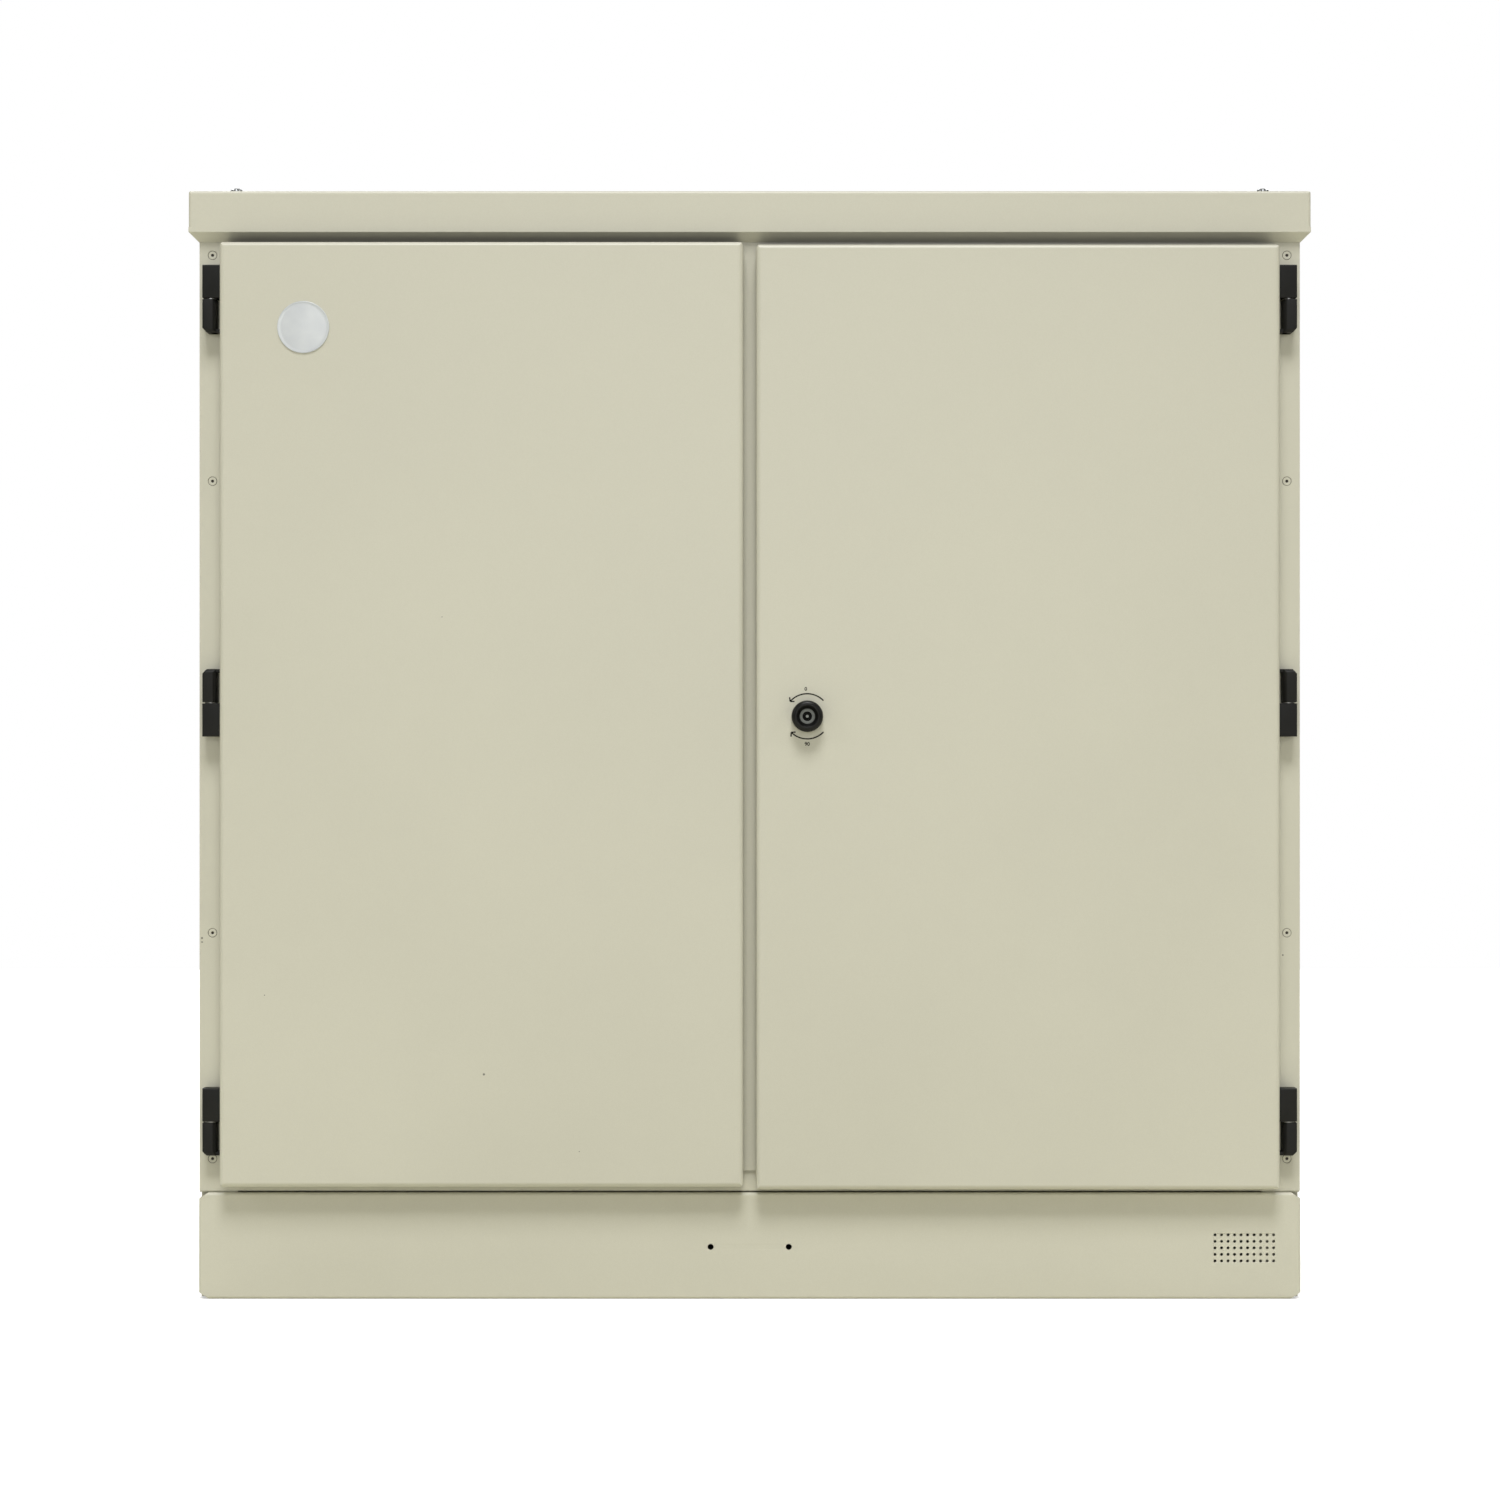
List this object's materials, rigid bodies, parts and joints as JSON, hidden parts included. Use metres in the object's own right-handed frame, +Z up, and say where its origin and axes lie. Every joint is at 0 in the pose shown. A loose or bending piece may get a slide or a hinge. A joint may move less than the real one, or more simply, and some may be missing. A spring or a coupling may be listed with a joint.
{
  "type": "roadside utility cabinet",
  "caption": "Free-standing sheet-metal roadside cabinet with double doors on outside hinges, a rod lock, a rain roof, a vented plinth and mounting rails inside.",
  "frame": {"origin": "centre of the plinth's anchor-bolt rectangle, in the plane that the plinth stands on", "axes": "+Z up, +X along the width towards the lock door's hinges, doors facing -Y"},
  "size_m": [1.119, 0.3725, 1.114],
  "materials": {
    "coat": "fine-textured powder coat",
    "galvanised": "galvanised",
    "zinc": "zinc plated",
    "steel": "bright",
    "black_metal": "satin black",
    "black_plastic": "moulded",
    "foam": "closed-cell foam",
    "brass": "drawn",
    "badge": "gloss"
  },
  "bodies": {
    "root": {"plinth_frame": "coat", "plinth_cover": "coat", "plinth_bolts": "zinc", "side_panel_left": "coat", "side_panel_right": "coat", "rear_panel": "coat", "top_panel": "coat", "front_frame": "coat", "frame_screws": "coat", "centre_post": "coat", "centre_post_screws": "zinc", "floor_plate_front": "galvanised", "floor_plate_rear": "galvanised", "cable_slot_seal": "foam", "roof_cap": "coat", "roof_bolts": "zinc", "rail_left_outer": "galvanised", "rail_left_inner": "galvanised", "rail_right_inner": "galvanised", "rail_right_outer": "galvanised", "rail_bolts": "zinc", "cable_clamp_bar": "galvanised", "earth_bar": "brass", "stay_guides": "galvanised", "frame_knuckle_left_bottom": "black_metal", "frame_knuckle_left_middle": "black_metal", "frame_knuckle_left_top": "black_metal", "frame_knuckle_right_bottom": "black_metal", "frame_knuckle_right_middle": "black_metal", "frame_knuckle_right_top": "black_metal", "hinge_pins": "steel", "frame_hinge_screws": "zinc"},
    "left_door": {"left_door": "coat", "left_door_seal": "foam", "left_door_stiffener": "coat", "left_door_hinge_screws": "zinc", "door_knuckle_left_bottom": "black_metal", "door_knuckle_left_middle": "black_metal", "door_knuckle_left_top": "black_metal", "badge_disc": "badge", "bolt_guides": "black_plastic"},
    "top_bolt": {"top_bolt": "zinc"},
    "bottom_bolt": {"bottom_bolt": "zinc"},
    "left_stay": {"left_stay": "galvanised"},
    "right_door": {"right_door": "coat", "right_door_seal": "foam", "right_door_stiffener": "coat", "right_door_hinge_screws": "zinc", "door_knuckle_right_bottom": "black_metal", "door_knuckle_right_middle": "black_metal", "door_knuckle_right_top": "black_metal", "lock_bezel": "black_plastic", "lock_body": "zinc", "lock_nut": "zinc", "rod_guides": "black_plastic"},
    "lock": {"lock_rotor": "steel", "lock_cam": "steel"},
    "upper_rod": {"upper_rod": "zinc"},
    "lower_rod": {"lower_rod": "zinc"},
    "right_stay": {"right_stay": "galvanised"}
  },
  "joints": [
    {"name": "left_door_hinge", "type": "hinge", "parent": "root", "child": "left_door", "pos_m": [-0.5365, -0.171, 0.59], "axis": [0, 0, -1], "range_deg": [0, 110]},
    {"name": "right_door_hinge", "type": "hinge", "parent": "root", "child": "right_door", "pos_m": [0.5365, -0.171, 0.59], "axis": [0, 0, 1], "range_deg": [0, 110]},
    {"name": "left_stay_pivot", "type": "hinge", "parent": "left_door", "child": "left_stay", "pos_m": [-0.40821, -0.15, 0.988], "axis": [0, 0, 1], "range_deg": [0, 55]},
    {"name": "right_stay_pivot", "type": "hinge", "parent": "right_door", "child": "right_stay", "pos_m": [0.40821, -0.15, 0.988], "axis": [0, 0, -1], "range_deg": [0, 55]},
    {"name": "lock_turn", "type": "hinge", "parent": "right_door", "child": "lock", "pos_m": [0.057, -0.19, 0.58145], "axis": [0, 1, 0], "range_deg": [0, 90]},
    {"name": "upper_rod_slide", "type": "slide", "parent": "right_door", "child": "upper_rod", "axis": [0, 0, 1], "range_m": [0, 0.02546]},
    {"name": "lower_rod_slide", "type": "slide", "parent": "right_door", "child": "lower_rod", "axis": [0, 0, -1], "range_m": [0, 0.02546]},
    {"name": "top_bolt_slide", "type": "slide", "parent": "left_door", "child": "top_bolt", "axis": [0, 0, 1], "range_m": [0, 0.02]},
    {"name": "bottom_bolt_slide", "type": "slide", "parent": "left_door", "child": "bottom_bolt", "axis": [0, 0, -1], "range_m": [0, 0.02]}
  ],
  "couplings": [
    {"joint": "left_stay_pivot", "follows": "left_door_hinge", "ratio": 0.5},
    {"joint": "right_stay_pivot", "follows": "right_door_hinge", "ratio": 0.5},
    {"joint": "upper_rod_slide", "follows": "lock_turn", "m_per_rad": 0.016206},
    {"joint": "lower_rod_slide", "follows": "lock_turn", "m_per_rad": 0.016206}
  ]
}
